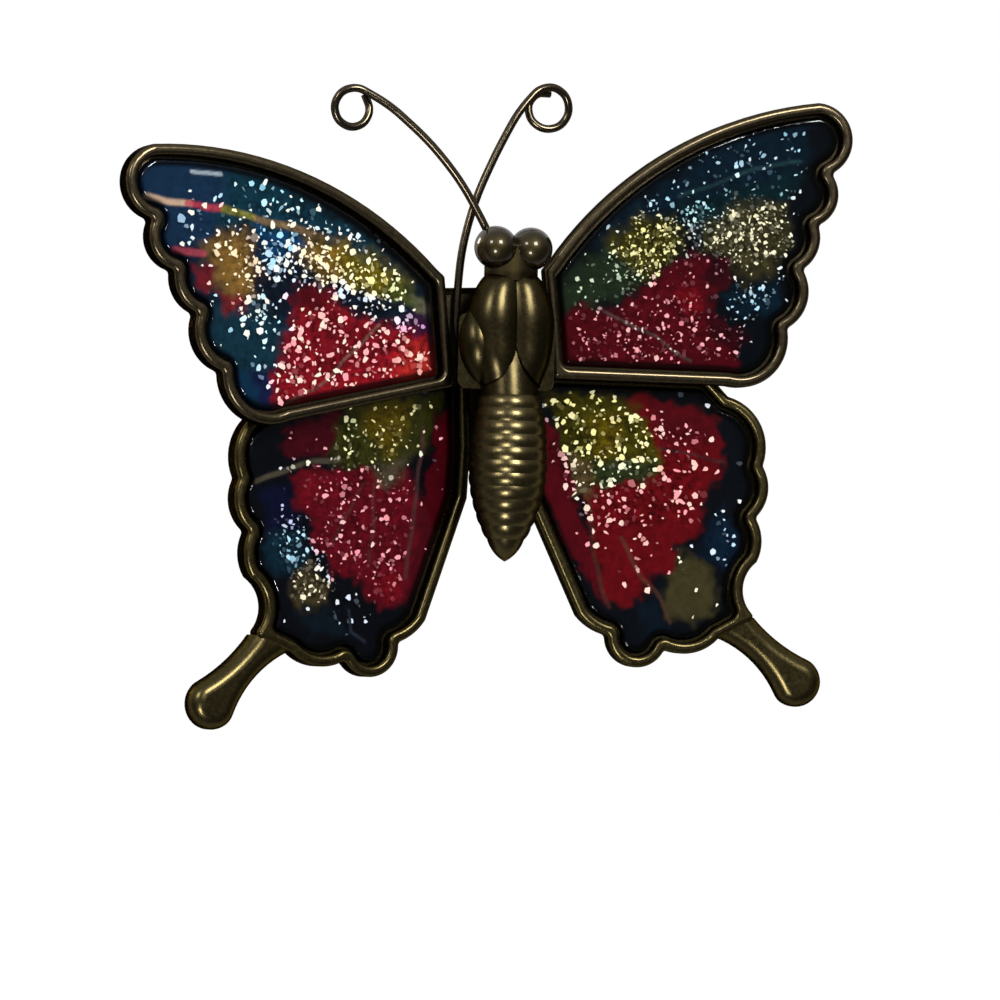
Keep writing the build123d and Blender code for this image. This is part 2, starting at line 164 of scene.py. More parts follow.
def antique_metal(name, dark, worn, roughness, dull_from=NOWHERE, polished_from=NOWHERE):
    """Cast metal under a dark patina that is rubbed through on what faces forward: brown-black sides and
    warm faces, with clouds of patina and a fine grain. Above one height more of the patina stayed, as on the
    thorax, and above the other a gloss lacquer lies over a colour painted darker as painted shade, as on the
    eyes."""
    made, tree = new_material(name)
    place = add(tree, "ShaderNodeTexCoord").outputs["Object"]
    cloud = add(tree, "ShaderNodeTexNoise", Vector=place, Scale=1 / PATINA_CLOUD, Detail=2).outputs["Fac"]
    grain = add(tree, "ShaderNodeTexNoise", Vector=place, Scale=1 / PATINA_GRAIN, Detail=2).outputs["Fac"]
    normal = add(tree, "ShaderNodeNewGeometry").outputs["Normal"]
    forward = add(tree, "ShaderNodeSeparateXYZ", Vector=normal).outputs["Y"]
    height = add(tree, "ShaderNodeSeparateXYZ", Vector=place).outputs["Z"]
    rubbed = add(
        tree, "ShaderNodeMapRange", Value=forward, From_Min=-0.1, From_Max=-0.95, To_Min=0.0, To_Max=0.8
    ).outputs["Result"]
    cloudy = add(
        tree, "ShaderNodeMath", {"operation": "MULTIPLY_ADD"}, i0=cloud, i1=CLOUD_SHARE, i2=rubbed
    ).outputs[0]
    grainy = add(
        tree, "ShaderNodeMath", {"operation": "MULTIPLY_ADD"}, i0=grain, i1=GRAIN_SHARE, i2=cloudy
    ).outputs[0]
    wear = add(
        tree, "ShaderNodeMapRange", Value=grainy, From_Min=0.45, From_Max=1.3, To_Min=0.0, To_Max=1.0
    ).outputs["Result"]
    most = add(
        tree,
        "ShaderNodeMapRange",
        Value=height,
        From_Min=dull_from,
        From_Max=dull_from + THORAX_FADE,
        To_Min=1.0,
        To_Max=THORAX_WEAR,
    ).outputs["Result"]
    bare = add(tree, "ShaderNodeMath", {"operation": "MULTIPLY"}, i0=wear, i1=most).outputs[0]
    metal = add(
        tree, "ShaderNodeMix", {"data_type": "RGBA"}, Factor=bare, i6=colour(dark), i7=colour(worn)
    ).outputs[2]
    polish = add(
        tree,
        "ShaderNodeMapRange",
        Value=grain,
        From_Min=0.3,
        From_Max=0.7,
        To_Min=roughness - 0.05,
        To_Max=roughness + 0.05,
    ).outputs["Result"]
    rough = add(
        tree, "ShaderNodeMix", {"data_type": "FLOAT"}, Factor=wear, i2=PATINA_ROUGHNESS, i3=polish
    ).outputs[0]
    above = add(
        tree,
        "ShaderNodeMapRange",
        Value=height,
        From_Min=polished_from,
        From_Max=polished_from + EYE_FADE,
        To_Min=0.0,
        To_Max=1.0,
    ).outputs["Result"]
    ahead = add(
        tree, "ShaderNodeMapRange", Value=forward, From_Min=0.4, From_Max=-0.2, To_Min=0.0, To_Max=1.0
    ).outputs["Result"]
    eye = add(tree, "ShaderNodeMath", {"operation": "MULTIPLY"}, i0=above, i1=ahead).outputs[0]
    # Painted shade: the eyes are painted darker than the metal, under a gloss lacquer coat
    base = add(tree, "ShaderNodeMix", {"data_type": "RGBA"}, Factor=eye, i6=metal, i7=colour(EYE_COLOUR_WITH_PAINTED_SHADE))
    gloss = add(tree, "ShaderNodeMix", {"data_type": "FLOAT"}, Factor=eye, i2=rough, i3=EYE_ROUGHNESS)
    shader = add(
        tree,
        "ShaderNodeBsdfPrincipled",
        Base_Color=base.outputs[2],
        Metallic=1.0,
        Roughness=gloss.outputs[0],
        Specular_Tint=colour(EDGE_TINT),
        Coat_Weight=eye,
        Coat_Roughness=0.05,
    )
    finish_material(tree, shader.outputs[0])
    return made


def plain(name, base, roughness):
    """An even, dull surface with faint fine mottling."""
    made, tree = new_material(name)
    place = add(tree, "ShaderNodeTexCoord").outputs["Object"]
    mottle = add(tree, "ShaderNodeTexNoise", Vector=place, Scale=1 / MOTTLE, Detail=3).outputs["Fac"]
    light = [min(1, MOTTLE_LIGHT * c) for c in colour(base)]
    mixed = add(tree, "ShaderNodeMix", {"data_type": "RGBA"}, Factor=mottle, i6=colour(base), i7=light)
    shader = add(tree, "ShaderNodeBsdfPrincipled", Base_Color=mixed.outputs[2], Roughness=roughness)
    finish_material(tree, shader.outputs[0])
    return made


def glittered_paper():
    """The printed sheet: its painted colours, smooth where it is bare, and where the glitter lies broken up
    from 1 mm down to the grain of fine dust."""
    made, tree = new_material("glittered paper")
    place = add(tree, "ShaderNodeTexCoord").outputs["Object"]
    paint = add(tree, "ShaderNodeAttribute", {"attribute_name": "paint"}).outputs["Color"]
    sparkle = add(tree, "ShaderNodeAttribute", {"attribute_name": "sparkle"}).outputs["Fac"]
    dust = add(
        tree, "ShaderNodeTexNoise", Vector=place, Scale=1 / DUST_BLOTCH, Detail=5, Roughness=0.8
    ).outputs["Fac"]
    grain = add(
        tree, "ShaderNodeMapRange", Value=dust, From_Min=0.36, From_Max=0.66, To_Min=0.3, To_Max=1.8
    ).outputs["Result"]
    broken = add(
        tree, "ShaderNodeMapRange", Value=sparkle, From_Min=0.0, From_Max=0.5, To_Min=0.25, To_Max=1.0
    ).outputs["Result"]
    level = add(tree, "ShaderNodeMix", {"data_type": "FLOAT"}, Factor=broken, i2=1.0, i3=grain).outputs[0]
    settings = {"data_type": "RGBA", "blend_type": "MULTIPLY"}
    base = add(tree, "ShaderNodeMix", settings, Factor=1.0, i6=paint, i7=level).outputs[2]
    finish_material(tree, add(tree, "ShaderNodeBsdfDiffuse", Color=base).outputs[0])
    return made


def glitter_foil():
    """Foil flakes with painted glints: a flake marked bright is painted in the print's tint or near white,
    as a painted highlight of the light it would catch, and the others are a little lighter than the print."""
    made, tree = new_material("glitter foil")
    paint = add(tree, "ShaderNodeAttribute", {"attribute_name": "paint"}).outputs["Color"]
    foil = add(tree, "ShaderNodeAttribute", {"attribute_name": "foil"}).outputs["Color"]
    pale = add(tree, "ShaderNodeAttribute", {"attribute_name": "pale"}).outputs["Fac"]
    glint = add(tree, "ShaderNodeAttribute", {"attribute_name": "glint"}).outputs["Fac"]
    # Painted highlight: the glint mark lightens a flake's colour, and the palest bright flakes are painted
    # near white
    white = add(tree, "ShaderNodeMath", {"operation": "MULTIPLY"}, i0=pale, i1=glint).outputs[0]
    shine = add(
        tree, "ShaderNodeMix", {"data_type": "RGBA"}, Factor=white, i6=foil, i7=colour("#f6ead2")
    ).outputs[2]
    base = add(tree, "ShaderNodeMix", {"data_type": "RGBA"}, Factor=glint, i6=paint, i7=shine).outputs[2]
    finish_material(tree, add(tree, "ShaderNodeBsdfDiffuse", Color=base).outputs[0])
    return made


def clear_epoxy():
    """A clear gloss layer: the print shows through it, and its outside mirrors lamps as glass does."""
    made, tree = new_material("clear epoxy")
    through = add(tree, "ShaderNodeBsdfTransparent", Color=colour("#ffffff"))
    gloss = add(tree, "ShaderNodeBsdfGlossy", Color=colour("#ffffff"), Roughness=0.06)
    edge = add(tree, "ShaderNodeFresnel", IOR=1.5).outputs[0]
    inner = add(tree, "ShaderNodeNewGeometry").outputs["Backfacing"]
    outer = add(tree, "ShaderNodeMix", {"data_type": "FLOAT"}, Factor=inner, i2=edge, i3=0.0).outputs[0]
    mixed = add(tree, "ShaderNodeMixShader", i0=outer, i1=through.outputs[0], i2=gloss.outputs[0])
    finish_material(tree, mixed.outputs[0])
    return made


def wing_matrix(side, wing):
    """From a wing's own plane, x along the span and z along the body, to where that wing stands."""
    turn = Matrix.Rotation(WINGS[wing]["turn"], 4, "Y")
    flip = Matrix.Diagonal((-1 if side == "left" else 1, 1, 1, 1))
    level = Matrix.Translation((0, -WINGS[wing]["back"], 0))
    return turn @ flip @ level @ Matrix.Rotation(-WING_RAISE, 4, "Z")


def distance_to_line(points, line):
    """Each point's distance to a polyline."""
    best = np.full(len(points), np.inf)
    for a, b in zip(np.array(line[:-1], float), np.array(line[1:], float)):
        run = b - a
        share = np.clip((points - a) @ run / (run @ run), 0, 1)
        best = np.minimum(best, np.linalg.norm(points - a - share[:, None] * run, axis=1))
    return best


def inside(points, outline):
    """True for each point inside a closed outline."""
    result = np.zeros(len(points), bool)
    for (x1, z1), (x2, z2) in zip(outline, outline[1:] + outline[:1]):
        if z1 == z2:
            continue
        crosses = (points[:, 1] > min(z1, z2)) & (points[:, 1] <= max(z1, z2))
        at = x1 + (points[:, 1] - z1) * (x2 - x1) / (z2 - z1)
        result ^= crosses & (points[:, 0] < at)
    return result


def soft_step(values):
    """A smooth rise from 0 to 1."""
    values = np.clip(values, 0, 1)
    return values * values * (3 - 2 * values)


def strength(points, kind, line, size):
    """How strongly a layer of paint covers each point: a patch with a soft edge, or a stroke of some
    width."""
    if kind == "patch":
        edge = distance_to_line(points, line + line[:1])
        return soft_step(0.5 + np.where(inside(points, line), edge, -edge) / size)
    return soft_step(1.5 - distance_to_line(points, line) / (size / 2))


# Layers of paint in a wing's own plane, in millimetres, from the body outwards (x) and up (z): kind, colour,
# softness of a patch's edge or width of a stroke, cover, corners
LEFT_FOREWING_PAINT_AND_SHADE = [
    ("patch", "#082937", 3.0, 1.0, [(30, 21), (29, 14), (20, 12.5), (12, 9), (8, 8), (14, 17), (22, 21)]),
    ("patch", "#0e253d", 2.0, 1.0, [(38, 21.5), (37, 12), (30, 12), (28.5, 16), (27.5, 20), (31, 22)]),
    ("patch", "#08365c", 1.2, 0.9, [(24.4, 13.6), (22, 13.2), (20, 12), (20.4, 10.6), (23.4, 10.8)]),
    # Painted shade: a near-black band along the leading edge, where the rim's shadow falls
    ("patch", "#05080d", 1.6, 0.9, [
        (27, 20.6), (21, 17.6), (15, 13.3), (10, 8.9), (6.5, 5.3), (4, 8), (14, 21), (27, 25),
    ]),
    ("patch", "#694e22", 2.4, 1.0, [
        (30.4, 12.4), (28, 13.4), (25.6, 12.8), (24.8, 9.6), (25.8, 7), (28, 6.8), (29.6, 8.6),
    ]),
    ("patch", "#654d17", 2.2, 1.0, [(20.6, 10.6), (18.6, 12.6), (15, 11.4), (14.6, 8), (18, 8.2)]),
    ("patch", "#554b09", 2.2, 1.0, [(16, 11.4), (12.6, 10.4), (9, 7.6), (9.6, 6), (13, 6.8), (16, 8)]),
    ("patch", "#3a4215", 1.6, 0.9, [(10.6, 8.2), (7.6, 5.8), (8.4, 4.6), (11.6, 6)]),
    ("patch", "#676250", 1.2, 0.9, [(8.2, 6), (5.6, 4), (5.6, 3), (8.2, 4.4)]),
    ("patch", "#08101b", 1.4, 0.9, [
        (25.6, 9), (22, 9.6), (19, 8.6), (13, 6.4), (10, 4.8), (12, 3.8), (16, 5), (22, 6), (25, 4),
    ]),
    ("patch", "#0b2734", 1.6, 1.0, [(31, 6), (25, 6.4), (22.6, 3.6), (24.6, -1), (30, -2), (32, 3)]),
    ("patch", "#0d1537", 1.8, 0.9, [(26.4, 0.2), (24.2, -0.4), (23.6, -4.6), (26, -5), (27.4, -2)]),
    ("patch", "#08253d", 1.4, 1.0, [(30, 0), (26.8, 0), (26, -4.6), (29, -4)]),
    ("patch", "#670b15", 1.4, 1.0, [
        (3, 2.4), (8, 2.2), (12, 3.8), (15.4, 5), (17.6, 7), (20, 7.6), (21.8, 6), (22.2, 3.6),
        (23.6, 0.6), (24.6, -2.4), (24.4, -6), (3, -6),
    ]),
    ("patch", "#42060e", 1.2, 0.9, [(17.2, 7.2), (20.4, 7.8), (21.4, 6), (19, 5.4)]),
    ("patch", "#570812", 2.0, 0.7, [(14, 3), (19, 4.4), (20.4, 0.6), (16.4, -0.6)]),
    ("patch", "#9b221d", 2.0, 0.9, [(4, 0.8), (9.6, 0.8), (12.4, -1), (10, -4), (4, -4)]),
    ("patch", "#82101b", 2.0, 0.7, [(11, 1), (15, -0.8), (24, -2), (22, -4.6), (10, -3)]),
    ("patch", "#340d30", 1.8, 0.8, [(4.6, 3.8), (8.4, 4), (10.6, 3.4), (8.4, 1.8), (4.8, 2)]),
    ("patch", "#5e151d", 1.2, 0.95, [(31.8, 10), (30, 9.8), (29.4, 8), (30.8, 7.4)]),
    ("patch", "#5b171b", 1.2, 0.95, [(29.4, 7.2), (27.2, 7.4), (26.6, 5.8), (28.8, 5.4)]),
    ("stroke", "#ac927b", 0.6, 1.0, [(36, 17.4), (33.6, 16.9), (31.4, 16.4)]),
    ("stroke", "#9e3445", 0.6, 0.9, [(31.8, 16.5), (30, 16.1), (28.2, 15.8)]),
    ("stroke", "#6d6b25", 0.7, 0.8, [(28, 15.7), (26.4, 15.2), (24.8, 14.7)]),
    ("stroke", "#755e3e", 0.7, 0.75, [(24.6, 14.6), (21.6, 13.7), (18.8, 12.8)]),
    ("stroke", "#8c3745", 0.7, 0.9, [(33.6, 12.2), (32, 11.8), (30.6, 11.4)]),
    ("stroke", "#756b62", 0.3, 0.4, [(23.4, -3.6), (20, -2.6), (15, 1.6), (12.6, 3.6)]),
    ("stroke", "#9eacb3", 0.4, 0.7, [(31, 19.7), (29.4, 19.5), (28, 19.1)]),
]
# Painted shade: this print's colours are painted darker, for this wing lies away from the light
RIGHT_FOREWING_PAINT_AND_SHADE = [
    ("patch", "#041420", 2.0, 1.0, [
        (34, 20), (30, 21), (24, 18.6), (15, 13.6), (11, 10), (12, 9.4), (18, 12.6), (25, 14), (31, 14),
        (34, 17),
    ]),
    ("patch", "#041a1f", 2.0, 1.0, [
        (33, 15.6), (24, 14), (19, 12.6), (22, 10.4), (26, 11.6), (31, 12.6),
    ]),
    ("patch", "#343006", 2.0, 1.0, [
        (19, 11.6), (16, 12.4), (12.4, 10.2), (13, 8), (14.6, 6), (16.6, 6.6), (19.6, 8.6), (20, 10),
    ]),
    ("patch", "#192416", 1.8, 1.0, [
        (13, 9.8), (9.6, 8.4), (7, 6.2), (5.6, 3.4), (10, 3.6), (13, 4.8), (15, 6),
    ]),
    ("patch", "#2e2b17", 2.0, 1.0, [
        (31, 12.4), (28, 13), (25, 12.4), (22, 10.6), (21.6, 8.2), (24, 7.6), (26, 5.4), (29, 5.4),
        (31, 8),
    ]),
    ("patch", "#041521", 1.4, 1.0, [
        (29.6, 4.6), (25.4, 4.8), (23.6, 3.6), (25, 1.8), (28.8, 1.2), (29.8, 2.6),
    ]),
    ("patch", "#41050d", 1.2, 1.0, [
        (5, 2.6), (9.6, 3.6), (12, 3.2), (14.6, 4.8), (16.6, 6), (18.6, 7.4), (20.4, 7.8), (24.4, 6.8),
        (24.6, 5.4), (22.8, 4.2), (22.4, 1.8), (24.8, 0.4), (24.8, -5), (5, -5),
    ]),
    ("patch", "#630811", 1.4, 0.8, [(19.4, 5), (21.6, 4.6), (21.4, 1.8), (19.8, 2.2)]),
    ("patch", "#1f040a", 1.2, 0.9, [(21.8, 7.4), (24.6, 6.8), (24.8, 5.2), (22.4, 5)]),
    ("patch", "#1a0409", 1.4, 0.8, [(22, 1.4), (25.4, 0.6), (26.4, -0.8), (24.6, -2), (22, -0.6)]),
    ("stroke", "#1f393e", 0.4, 0.6, [(20, 14), (24, 15.2), (28, 16.2), (33, 16.8)]),
    ("stroke", "#483b3b", 0.3, 0.7, [(11.4, 3.2), (14, 1.8), (16.6, 0.2), (19.8, -2.6)]),
]
# Painted shade: this print's colours are painted darker, for this wing lies away from the light
LEFT_HINDWING_PAINT_AND_SHADE = [
    ("patch", "#060a20", 1.6, 1.0, [(25.4, -12.8), (22.2, -13.2), (21, -16.6), (24.8, -17.4)]),
    ("patch", "#071e2a", 1.6, 1.0, [(25, -17.6), (21, -17), (20.6, -20.4), (22.4, -22), (24.4, -20.8)]),
    ("patch", "#4b0711", 1.0, 1.0, [
        (22, -12), (19.6, -11.2), (14, -11.2), (11.6, -13), (9.2, -12), (8, -15), (8.6, -20),
        (9.6, -24.6), (12, -25.4), (14, -24.4), (15.4, -22.6), (17.6, -21.6), (18.4, -19.6), (19.6, -19),
        (19.8, -16), (21.6, -14.6),
    ]),
    ("patch", "#36050e", 1.0, 1.0, [
        (16, -5.4), (19, -6), (22.8, -7.4), (23, -9.4), (20.6, -10.2), (17.4, -9.6),
    ]),
    ("patch", "#28280a", 1.4, 1.0, [
        (5.6, -4), (14.6, -4.6), (16.8, -7), (17.6, -9.6), (16.6, -10.8), (14, -11.2), (10, -11.8),
        (7.6, -9.6), (6.2, -7),
    ]),
    ("patch", "#443906", 1.8, 1.0, [(9, -4.8), (14, -5.4), (13.6, -8.4), (11, -10.6), (9.4, -9)]),
    ("patch", "#403828", 1.2, 0.9, [(9, -10.6), (13.6, -11.4), (12.6, -13.2), (10.2, -12.8)]),
    ("patch", "#3b050d", 0.8, 1.0, [
        (3, -5), (5.8, -6), (6.8, -10), (8, -15), (8.6, -20), (9.6, -25), (7, -22), (4, -12),
    ]),
    ("patch", "#630913", 1.6, 0.8, [(10, -22), (13.6, -22), (13, -24.4), (10.8, -24.6)]),
    ("patch", "#5e0a15", 1.4, 0.7, [(16.8, -12), (21, -12.4), (20.4, -14), (17.4, -14)]),
    ("patch", "#332c1a", 1.2, 1.0, [
        (20.4, -20.6), (22, -21.6), (22.4, -23.6), (21, -25.4), (18.8, -25), (18, -22.6),
    ]),
    ("patch", "#071118", 1.2, 1.0, [(22.4, -25.4), (18, -25.6), (16, -27.4), (20, -28)]),
    ("stroke", "#403b2f", 0.5, 0.9, [(25.6, -12.4), (22.6, -11.4), (19.6, -10.6), (16.6, -10.4)]),
    ("stroke", "#3f2828", 0.4, 0.7, [(7.4, -7.4), (8.2, -12), (9, -17), (9.8, -22.4)]),
    ("stroke", "#472825", 0.3, 0.6, [(13, -13), (13.2, -17), (13.8, -20.6)]),
    ("stroke", "#472825", 0.3, 0.6, [(14, -12.8), (16, -16), (17.6, -18.4)]),
    ("stroke", "#212833", 0.3, 0.7, [(16, -25.4), (15.9, -27.4), (14.4, -28.6)]),
]
RIGHT_HINDWING_PAINT = [
    ("patch", "#071728", 1.6, 1.0, [(24, -16), (22.6, -18), (21.4, -21), (24.4, -22.6), (25.2, -19)]),
    ("patch", "#52070d", 1.0, 1.0, [
        (14, -4.6), (19, -5.2), (23.4, -7.2), (23.8, -10), (23.4, -13.4), (21.6, -15), (21.6, -18.2),
        (20.2, -19.2), (18.6, -20), (18.8, -22), (17.2, -23), (15.6, -23), (15.6, -24.6), (13.6, -25.8),
        (11.4, -25.4), (10.4, -20), (9.4, -14), (16, -12),
    ]),
    ("patch", "#38060e", 1.6, 0.7, [(16.6, -5), (23.2, -7.2), (23.4, -9), (20, -9.6), (17, -8.6)]),
    ("patch", "#332f04", 1.2, 1.0, [
        (6, -4), (13.6, -4.6), (15.4, -6.2), (16.4, -8.6), (17.2, -10.8), (17.2, -12.2), (14, -13.4),
        (10.4, -13.4), (8.4, -12), (7.6, -9.6), (6.6, -7),
    ]),
    ("patch", "#493d05", 1.8, 0.9, [(13.4, -6.4), (10.6, -6.6), (10.4, -10.8), (13.4, -11)]),
    ("patch", "#1f2815", 1.4, 0.9, [(10.4, -11.6), (16.8, -11), (15.6, -13.6), (10.6, -13.8)]),
    ("patch", "#473a23", 1.0, 0.9, [(8, -10.6), (10.2, -12.2), (10.2, -15), (8.6, -14.6)]),
    ("patch", "#46060f", 0.8, 1.0, [
        (4, -7), (6.6, -7.4), (7.8, -11), (8.6, -15), (10, -20), (11, -25.6), (8, -21), (4.4, -12),
    ]),
    ("patch", "#332f1a", 1.4, 1.0, [
        (19.2, -20.6), (21.2, -21.4), (22.4, -22.4), (23, -25), (22.6, -27.4), (20, -28), (18, -27.4),
        (17.4, -25), (18, -22.8),
    ]),
    ("patch", "#07101a", 1.2, 0.9, [(14.6, -25.6), (17.2, -25), (17.8, -28), (15.4, -29.2), (14.6, -28)]),
    ("stroke", "#4d281f", 0.5, 0.5, [(10, -15.6), (10.2, -20), (11, -24), (11.6, -25.8)]),
    ("stroke", "#4d3125", 0.4, 0.5, [
        (13.2, -19), (14.4, -21.6), (15.4, -23.4), (17.2, -25.4), (18, -27.6),
    ]),
    ("stroke", "#312325", 0.3, 0.6, [(17.4, -10), (20, -10.6), (24, -11.6)]),
]
# Each print's ground colour and its layers. As painted shade, the right forewing's and the left hindwing's
# colours are painted darker, for they lie away from the light.
PAINT = {
    ("left", "forewing"): ("#081827", LEFT_FOREWING_PAINT_AND_SHADE),
    ("right", "forewing"): ("#04080d", RIGHT_FOREWING_PAINT_AND_SHADE),
    ("left", "hindwing"): ("#05070c", LEFT_HINDWING_PAINT_AND_SHADE),
    ("right", "hindwing"): ("#06090e", RIGHT_HINDWING_PAINT),
}
# Where each print's flakes lie dense, in the same plane: strength, softness, corners
SPARKLE = {
    ("left", "forewing"): [
        (0.2, 3, [(33, 17), (33, 12), (29, 2), (25, -3.4), (7, -3), (6, 4), (15, 12), (26, 19)]),
        (0.5, 3, [(28, 17), (20, 17), (12, 11), (9, 6), (20, 8), (28, 9)]),
        (1.0, 2.4, [(26, 13), (22, 12.6), (18, 13), (9, 7.6), (8.6, 5), (14, 5), (20, 7.6), (26, 8)]),
        (0.6, 2, [(22, 6), (12, 5), (6, 2), (6, -1.6), (14, -3), (25, -4)]),
        (0.8, 1.6, [(28, 7), (24, 7), (23, 4.4), (27, 4.6)]),
        (0.8, 1.6, [(28.4, 11.8), (25, 12.4), (24.4, 8), (27.4, 7.8)]),
    ],
    ("right", "forewing"): [
        (0.2, 3, [(34, 19), (26, 20), (15, 14), (8, 6), (8, -3), (24, -3.4), (31, 4), (33, 12)]),
        (1.0, 2.4, [(31, 13), (25, 13), (16, 12), (12, 9), (14, 5), (20, 8), (26, 6), (31, 7)]),
        (0.4, 2, [(21, 7.4), (13, 4), (8, 1), (8, -3), (23, -3), (22, 4)]),
        (0.6, 1.6, [(29, 5), (25, 5), (24, 2.6), (28, 2)]),
    ],
    ("left", "hindwing"): [
        (0.15, 2, [(6, -5), (22, -6.6), (24, -16), (22, -26), (14, -27), (9, -18)]),
        (0.5, 2, [(8, -5), (17, -7), (18, -10), (13, -13), (10, -11)]),
        (0.4, 2, [(9, -13), (16, -11), (21, -12), (19, -18), (15, -23), (11, -25), (9.6, -18)]),
        (0.9, 1.6, [(24.6, -15.6), (21, -15.6), (17, -22), (18, -25), (22, -24)]),
    ],
    ("right", "hindwing"): [
        (0.12, 2, [(7, -5), (23, -7), (24, -16), (22, -24), (14, -25), (9, -18)]),
        (0.65, 1.6, [(6, -4.4), (14, -5), (17, -9), (17, -13.4), (10, -14), (8.6, -16), (6, -9)]),
        (0.5, 2, [(16, -6.4), (22, -8), (22, -14), (20, -17.6), (12, -18), (9.6, -20), (9, -15), (16, -12)]),
        (0.5, 1.2, [(24.6, -16), (23, -16.6), (23.6, -22), (24.8, -21)]),
    ],
}


def painted(points, insert, outline):
    """At points of a wing's own plane: its print's colour, darkened at the edge as painted shade of the rim,
    the tint of a flake there, and how dense the flakes lie."""
    wander = np.array([
        noise.noise_vector(Vector((x / WANDER_LENGTH, z / WANDER_LENGTH, 0)))[:2] for x, z in points
    ])
    ripple = np.array([
        noise.noise_vector(Vector((x * RIPPLES_PER_MM, z * RIPPLES_PER_MM, 5)))[:2] for x, z in points
    ])
    spots = {
        "patch": points + PATCH_WANDER * wander + PATCH_RIPPLE * ripple,
        "stroke": points + STROKE_WANDER * wander,
    }
    ground, layers = PAINT[insert]
    paint = np.tile(np.array(colour(ground)), (len(points), 1))
    for kind, code, size, cover, line in layers:
        share = cover * strength(spots[kind], kind, line, size)[:, None]
        paint = paint * (1 - share) + np.array(colour(code)) * share
    tint = np.sqrt(paint / paint[:, :3].max(1, keepdims=True))
    foil = FOIL_WHITE + (1 - FOIL_WHITE) * tint
    sparkle = np.full(len(points), STRAY_FLAKES)
    for level, size, line in SPARKLE[insert]:
        sparkle = np.maximum(sparkle, level * strength(spots["patch"], "patch", line, size))
    # Painted shade of the rim: the paint darkens over MARGIN towards the print's edge, and fewer flakes lie
    # there
    clear = soft_step(distance_to_line(points, outline + outline[:1]) / MARGIN - 1)
    paint[:, :3] *= MARGIN_LIGHT + (1 - MARGIN_LIGHT) * clear[:, None]
    return paint, foil, sparkle * clear


def front_outline(node, matrix):
    """The outline of a print's front face in its wing's own plane, in millimetres."""
    to_plane = matrix.inverted()
    mesh = node.data
    spots = [to_plane @ v.co / MM for v in mesh.vertices]
    places = [(round(p.x, 3), round(p.z, 3)) for p in spots]
    front = min(p.y for p in spots)
    edges = set()
    for face in mesh.polygons:
        if all(spots[v].y < front + FRONT_DEPTH for v in face.vertices):
            corners = [places[v] for v in face.vertices]
            edges.update(zip(corners, corners[1:] + corners[:1]))
    # An edge of the outline belongs to one face only
    follows = {a: b for a, b in edges if (b, a) not in edges}
    start = min(follows)
    outline = [start]
    while follows[outline[-1]] != start:
        outline.append(follows[outline[-1]])
    return outline


def print_sheet(side, wing):
    """A print as a sheet of small triangles whose corners carry its colours and its flakes' density."""
    matrix = wing_matrix(side, wing)
    outline = front_outline(NODES[f"{side}_{wing}_print"], matrix)
    edge = np.array(outline)
    low, high = edge.min(0), edge.max(0)
    columns = np.arange(low[0], high[0], PAINT_STEP)
    rows = np.arange(low[1], high[1], PAINT_STEP)
    grid = np.array([(x + (i % 2) * PAINT_STEP / 2, z) for i, z in enumerate(rows) for x in columns])
    kept = inside(grid, outline) & (distance_to_line(grid, outline + outline[:1]) > PAINT_STEP / 2)
    corners = [Vector(p) for p in outline] + [Vector(p) for p in grid[kept]]
    border = list(range(len(outline)))
    flat, _, faces, *_ = delaunay_2d_cdt(corners, [], [border], INSIDE_ONLY, SAME_CORNER)
    points = np.array(flat)
    mesh = bpy.data.meshes.new(f"{side}_{wing}_print_sheet")
    mesh.from_pydata([matrix @ Vector((x * MM, -PRINT_FRONT, z * MM)) for x, z in points], [], faces)
    # The sheet faces the viewer
    if mesh.polygons[0].normal.y > 0:
        mesh.flip_normals()
    paint, foil, sparkle = painted(points, (side, wing), outline)
    mesh.attributes.new("paint", "FLOAT_COLOR", "POINT").data.foreach_set("color", paint.ravel())
    mesh.attributes.new("foil", "FLOAT_COLOR", "POINT").data.foreach_set("color", foil.ravel())
    mesh.attributes.new("sparkle", "FLOAT", "POINT").data.foreach_set("value", sparkle)
    return mesh


